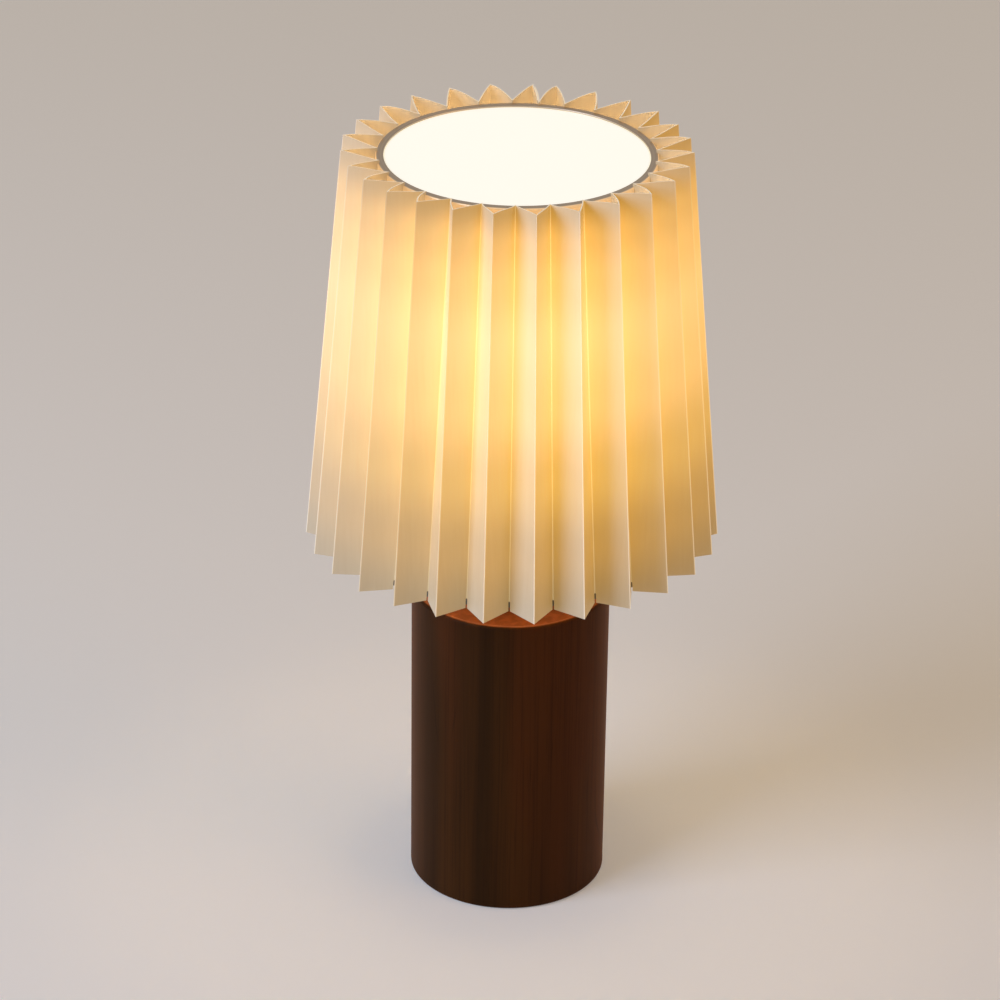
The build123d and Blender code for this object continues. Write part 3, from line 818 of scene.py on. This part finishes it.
def makeFootRim(values, material):
    # The block's wood goes on round the pad, down to just above the table.
    block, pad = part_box("wood_base"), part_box("foot_pad")
    outer, underside = block[1].x + values["proud"] * mm, block[0].z
    inner, foot = pad[1].x + values["padGap"] * mm, values["clear"] * mm
    edge, head = values["rounding"] * mm, underside + values["cover"] * mm
    profile = [(inner, foot), (inner, underside), (outer - edge, underside)]
    profile += [(outer - values["lip"] * mm, head), (outer, head)]
    profile += arcPoints((outer - edge, foot + edge), edge, 0, -90, steps=6)
    rim = turnedPiece("footRim", profile, values, material)
    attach(rim, "base")


walnutWood = lacqueredWalnutMaterial(walnut)
dress(["wood_base"], walnutWood)
makeFootRim(footRim, walnutWood)
print("walnut made")


# Light: the opal bulb and the opal disc above it

opal = {
    "bulbColour": "ffd9a0",
    "bulbStrength": 20.0,
    "bulbBody": "e6e0d4",
    "bulbRoughness": 0.4,
    # the disc's painted glow
    "discGlowColour": "fffbf0",
    # its rim's painted shade, where the ring laps over it
    "discRimPaintedShade": "fff0b4",
    "discRimShadeWidth": 1.6,       # mm
    "discBody": "8a857a",
    "discRoughness": 0.35,
    "discGlowStrength": 0.86,
}


def opalDiscMaterial(values):
    # Cast opal acrylic lit from below, its glow painted on: an even warm white, yellower at its rim
    # as the ring's painted shade.
    material, tree, place = newMaterial("opalAcrylic")
    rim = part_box("diffuser_disc")[1].x
    # painted shade: under the ring's overhang the rim's glow turns yellower
    edge = addNode(tree, "ShaderNodeMapRange", {
        "Value": distanceFromAxis(tree, place),
        "From Min": rim - values["discRimShadeWidth"] * mm,
        "From Max": rim,
    })
    colour = addNode(tree, "ShaderNodeMix", {
        0: edge, 6: hexColour(values["discGlowColour"]), 7: hexColour(values["discRimPaintedShade"]),
    }, data_type="RGBA")
    return endMaterial(material, {
        "Base Color": hexColour(values["discBody"]),
        "Roughness": values["discRoughness"],
        "Emission Color": colour,
        "Emission Strength": values["discGlowStrength"],
    })


def opalGlobeMaterial(values):
    # Opal polycarbonate over lit diodes: glows warm and hides them.
    return endMaterial(newMaterial("opalPolycarbonate")[0], {
        "Base Color": hexColour(values["bulbBody"]),
        "Roughness": values["bulbRoughness"],
        "Emission Color": hexColour(values["bulbColour"]),
        "Emission Strength": values["bulbStrength"],
    })


dress(["diffuser_disc"], opalDiscMaterial(opal))
dress(["bulb_globe"], opalGlobeMaterial(opal))


# Ring round the disc

ring = {
    "outerRadius": 61.1,    # mm, inside the folds' fronts
    "skirtWall": 0.8,
    "discGap": 0.3,         # between the disc and the skirt
    "cover": 0.75,          # how far the flange laps over the disc
    "lift": 0.02,           # between the disc and the flange
    "lipRadius": 0.3,       # rounding of the edge over the disc
    "rollRadius": 0.7,      # rounding of the outer edge, which is rolled over
    "rollDrop": 3.0,        # from the top to the foot of the rolled edge
    "turns": 216,           # steps round the ring
    "sharpAngle": 35.0,
    "dark": "aa9884",
    "pale": "d0bca6",
    "brushing": 0.25,       # mm between brush lines round the ring; real ones are finer
    "brushHeight": 0.01,
    "brushBump": 0.4,
    "roughness": 0.4,
    "leakColour": "ffcf90",
    "leakStrength": 0.5,
    "leakEdge": 1 / 3,      # the outermost share of the rolled edge, which shows it in full
}


def satinNickelMaterial(values):
    # Steel, brushed round and nickel plated satin: a warm grey with a soft wide highlight. Its
    # rolled edge stands in the pleats, where the bulb's light comes up past it.
    material, tree, place = newMaterial("brushedNickel")
    radius = distanceFromAxis(tree, place)
    height = addNode(tree, "ShaderNodeSeparateXYZ", {0: place}).outputs[2]
    profile = addNode(tree, "ShaderNodeCombineXYZ", {0: radius, 1: height})
    lines = addNode(tree, "ShaderNodeTexNoise", {
        "Vector": profile, "Scale": 1 / (2 * values["brushing"] * mm), "Detail": 2.0,
    })
    metal = addNode(tree, "ShaderNodeMix", {
        0: lines, 6: hexColour(values["dark"]), 7: hexColour(values["pale"]),
    }, data_type="RGBA")
    bump = addNode(tree, "ShaderNodeBump", {
        "Height": lines, "Strength": values["brushBump"], "Distance": values["brushHeight"] * mm,
    })
    # that light grows over the rolled edge
    outer, roll = values["outerRadius"] * mm, values["rollRadius"] * mm
    leak = addNode(tree, "ShaderNodeMapRange", {
        "Value": radius,
        "From Min": outer - roll,
        "From Max": outer - roll * values["leakEdge"],
        "To Max": values["leakStrength"],
    }, interpolation_type="SMOOTHSTEP")
    return endMaterial(material, {
        "Base Color": metal,
        "Metallic": 1.0,
        "Roughness": values["roughness"],
        "Emission Color": hexColour(values["leakColour"]),
        "Emission Strength": leak,
        "Normal": bump,
    })


def makeTopRing(values):
    # The ring round the disc: its flange laps over the disc's rim, its skirt goes down round the
    # disc, and its outer edge is rolled over.
    low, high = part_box("top_ring")
    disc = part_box("diffuser_disc")[1]
    top, foot, wall = high.z, low.z, values["skirtWall"] * mm
    outer, inner = values["outerRadius"] * mm, disc.x + values["discGap"] * mm
    cover, underside = disc.x - values["cover"] * mm, disc.z + values["lift"] * mm
    lip, roll = values["lipRadius"] * mm, values["rollRadius"] * mm
    hem = top - values["rollDrop"] * mm
    profile = [(inner, foot), (inner, underside), (cover, underside)]
    profile += arcPoints((cover + lip, top - lip), lip, 180, 90, steps=4)
    profile += arcPoints((outer - roll, top - roll), roll, 90, 0, steps=8)
    profile += [(outer, hem), (outer - wall, hem)]
    profile += [(outer - wall, top - roll), (outer - roll, top - wall)]
    profile += [(inner + wall, top - wall), (inner + wall, foot)]
    piece = turnedPiece("topRing", profile, values, satinNickelMaterial(values))
    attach(piece, "shade")
    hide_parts("top_ring")


makeTopRing(ring)
print("opal pieces and ring made")


# Other finishes. Each has two colours mixed by a fine grain, its size and height in mm.

finishes = {
    "powderCoatedWire": {
        # Drawn wire under dark powder coat: fine orange peel, barely shining.
        "nodes": ["bottom_ring", "spider_arms", "fitter_washer"],
        "colours": ("45413a", "565149"), "roughness": 0.45, "grain": 0.7, "height": 0.03,
    },
    "foamRubber": {
        # Closed-cell rubber foam, cut from sheet: flat black with tiny pits.
        "nodes": ["foot_pad"],
        "colours": ("141312", "201e1d"), "roughness": 0.9, "grain": 0.6, "height": 0.08,
    },
    "mouldedAbs": {
        # ABS, moulded with a spark-eroded grain: dull black.
        "nodes": ["bottom_cover"],
        "colours": ("1b1b1c", "242425"), "roughness": 0.55, "grain": 0.5, "height": 0.03,
    },
    "zincPlatedSteel": {
        # Mild steel, bright zinc plated: bluish silver with faint clouds.
        "nodes": [
            "cover_screws", "cap_lock_screw", "lamp_pipe", "pipe_washer", "pipe_nut", "lock_nut",
            "seat_plate",
        ],
        "colours": ("a7abb0", "c2c5c9"), "roughness": 0.3, "grain": 2.5, "height": 0.01,
        "metallic": 1.0,
    },
    "castIron": {
        # Grey iron, sand cast and painted: dark, with a sandy skin.
        "nodes": ["ballast_weight"],
        "colours": ("26282a", "34373a"), "roughness": 0.65, "grain": 1.2, "height": 0.15,
    },
    "grommetRubber": {
        # Nitrile rubber, moulded: soft black with a faint bloom.
        "nodes": ["cord_grommet"],
        "colours": ("171615", "22201f"), "roughness": 0.6, "grain": 0.5, "height": 0.02,
    },
    "phenolic": {
        # Phenolic resin, moulded: brown-black and smooth, glossy on its edges.
        "nodes": ["holder_cap", "holder_skirt", "retaining_ring"],
        "colours": ("1c1715", "261f1c"), "roughness": 0.3, "grain": 1.5, "height": 0.01,
    },
    "steatite": {
        # Steatite ceramic, pressed and fired unglazed: chalky white.
        "nodes": ["holder_insulator"],
        "colours": ("d5cfc2", "e2dcd0"), "roughness": 0.7, "grain": 0.4, "height": 0.03,
    },
    "stampedBrass": {
        # Brass strip, stamped and turned: yellow, with fine rubs.
        "nodes": ["terminal_plates", "terminal_screws", "centre_contact", "bulb_tip_contact"],
        "colours": ("b8934a", "d3ae63"), "roughness": 0.32, "grain": 0.8, "height": 0.01,
        "metallic": 1.0,
    },
    "pressedAluminium": {
        # Aluminium sheet, pressed and rolled: pale grey, a little dull.
        "nodes": ["screw_shell", "bulb_screw_cap"],
        "colours": ("b4b5b6", "cbcccc"), "roughness": 0.34, "grain": 1.0, "height": 0.01,
        "metallic": 1.0,
    },
    "mouldedPbt": {
        # PBT plastic, moulded in white: clean and satin.
        "nodes": ["bulb_collar"],
        "colours": ("d9d8d4", "e0dfdc"), "roughness": 0.4, "grain": 0.6, "height": 0.01,
    },
    "solderMask": {
        # White solder mask on an aluminium board: slick and even.
        "nodes": ["led_board"],
        "colours": ("dddcd6", "e6e5e0"), "roughness": 0.35, "grain": 0.7, "height": 0.01,
    },
    "fusedBlackGlass": {
        # Glass fused round the bulb's contact: black and shining.
        "nodes": ["bulb_cap_insulator"],
        "colours": ("0c0c10", "15151b"), "roughness": 0.12, "grain": 1.5, "height": 0.01,
    },
}


rub = 0.06      # how much rougher or smoother the grain makes a finish


def grainedMaterial(name, values):
    material, tree, place = newMaterial(name)
    grain = addNode(tree, "ShaderNodeTexNoise", {
        "Vector": place, "Scale": 1 / (values["grain"] * mm), "Detail": 3.0, "Roughness": 0.6,
    })
    low, high = (hexColour(code) for code in values["colours"])
    colour = addNode(tree, "ShaderNodeMix", {0: grain, 6: low, 7: high}, data_type="RGBA")
    rubbed = addNode(tree, "ShaderNodeMapRange", {
        "Value": grain, "To Min": values["roughness"] - rub, "To Max": values["roughness"] + rub,
    })
    bump = addNode(
        tree, "ShaderNodeBump", {"Height": grain, "Strength": 0.5, "Distance": values["height"] * mm}
    )
    return endMaterial(material, {
        "Base Color": colour,
        "Metallic": values.get("metallic", 0.0),
        "Roughness": rubbed,
        "Normal": bump,
    })


for finishName, finish in finishes.items():
    dress(finish["nodes"], grainedMaterial(finishName, finish))
print("finishes made")


# Screw threads: the bulb's cap and the shell that it turns in, rolled from thin sheet

thread = {
    "pitch": 3.629,         # mm a turn: the slide of the bulb follows its turn by this
    "depth": 0.85,
    "wall": 0.4,
    "fade": 2.0,            # over which the thread begins and ends
    "around": 96,
    "rows": 76,
    "sharpAngle": 35.0,
    "pieces": {
        # name: node, body, mouth radius, thread's start and end above the foot, lead-in
        "threadedCap": ("bulb_screw_cap", "bulb", 11.9, 0.6, 18.4, 1.0),
        "threadedShell": ("screw_shell", "base", 9.0, 2.0, 22.0, 0.0),
    },
}


def threadTree(sizes):
    # a flat grid bent into a round wall, pressed inwards along a right-hand helix. Its first row
    # is the rim of the mouth at its foot.
    tree, size = newGeometryTree("rolledThread", sizes)
    columns = addNode(tree, "ShaderNodeMath", {0: size["Around"], 1: 1.0}, operation="ADD")
    grid, column, row, lastRow = numberedGrid(tree, columns, size["Rows"])
    turn = addNode(tree, "ShaderNodeMath", {0: column, 1: size["Around"]}, operation="DIVIDE")
    angle = addNode(tree, "ShaderNodeMath", {0: turn, 1: math.tau}, operation="MULTIPLY")
    row = addNode(tree, "ShaderNodeMath", {0: row}, operation="ROUND")
    rise = addNode(tree, "ShaderNodeMapRange", {
        "Value": row, "From Min": 1.0, "From Max": lastRow, "To Max": size["Height"],
    })
    height = addNode(tree, "ShaderNodeMath", {0: rise, 1: size["Foot"]}, operation="ADD")

    # the thread's wave at this height and angle, and how much of it there is
    wave = height
    for operation, other in (("DIVIDE", size["Pitch"]), ("MULTIPLY", math.tau), ("SUBTRACT", angle)):
        wave = addNode(tree, "ShaderNodeMath", {0: wave, 1: other}, operation=operation)
    wave = addNode(tree, "ShaderNodeMath", {0: wave}, operation="COSINE")
    wave = addNode(tree, "ShaderNodeMath", {0: wave, 1: -0.5, 2: 0.5}, operation="MULTIPLY_ADD")
    faded = []
    for edge, operation in (("Start", "ADD"), ("End", "SUBTRACT")):
        full = addNode(tree, "ShaderNodeMath", {0: size[edge], 1: size["Fade"]}, operation=operation)
        faded.append(addNode(tree, "ShaderNodeMapRange", {
            "Value": rise, "From Min": size[edge], "From Max": full,
        }, interpolation_type="SMOOTHSTEP"))
    begun, ended = faded
    before = addNode(tree, "ShaderNodeMath", {0: 1.0, 1: begun}, operation="SUBTRACT")
    before = addNode(tree, "ShaderNodeMath", {0: before, 1: size["Lead-in"]}, operation="MULTIPLY")
    pressed = wave
    for operation, other in (
        ("MULTIPLY", begun), ("MULTIPLY", ended), ("ADD", before), ("MULTIPLY", size["Depth"]),
    ):
        pressed = addNode(tree, "ShaderNodeMath", {0: pressed, 1: other}, operation=operation)
    radius = addNode(tree, "ShaderNodeMath", {0: size["Radius"], 1: pressed}, operation="SUBTRACT")
    onWall = addNode(tree, "ShaderNodeMath", {0: row, 1: 0.5}, operation="GREATER_THAN")
    radius = addNode(tree, "ShaderNodeMix", {0: onWall, 2: size["Mouth"], 3: radius}, data_type="FLOAT")

    flat = outwards(tree, angle, radius)
    lift = addNode(tree, "ShaderNodeCombineXYZ", {2: height})
    bent = addNode(tree, "ShaderNodeVectorMath", {0: flat, 1: lift}, operation="ADD")
    made = addNode(tree, "GeometryNodeSetPosition", {"Geometry": grid, "Position": bent})
    # closes the seam where the last column meets the first
    made = addNode(tree, "GeometryNodeMergeByDistance", {"Geometry": made, "Distance": 0.01 * mm})
    made = addNode(tree, "GeometryNodeSetShadeSmooth", {"Geometry": made})
    endTree(tree, made, size["Material"])
    return tree


def makeThreads(values, material):
    tree = None
    for name, (node, body, mouth, start, end, leadIn) in values["pieces"].items():
        low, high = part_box(node)
        sizes = {
            "Around": values["around"],
            "Rows": values["rows"],
            "Foot": low.z,
            "Height": high.z - low.z,
            "Radius": high.x,
            "Mouth": mouth * mm,
            "Pitch": values["pitch"] * mm,
            "Depth": values["depth"] * mm,
            "Start": start * mm,
            "End": end * mm,
            "Fade": values["fade"] * mm,
            "Lead-in": leadIn,
        }
        tree = tree or threadTree(sizes)
        piece = addObject(name, meshFromTree(name, tree, sizes, material))
        thicken(piece, values["wall"], values["sharpAngle"])
        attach(piece, body)
        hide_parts(node)


makeThreads(thread, nodes["screw_shell"].data.materials[0])
print("threads made")
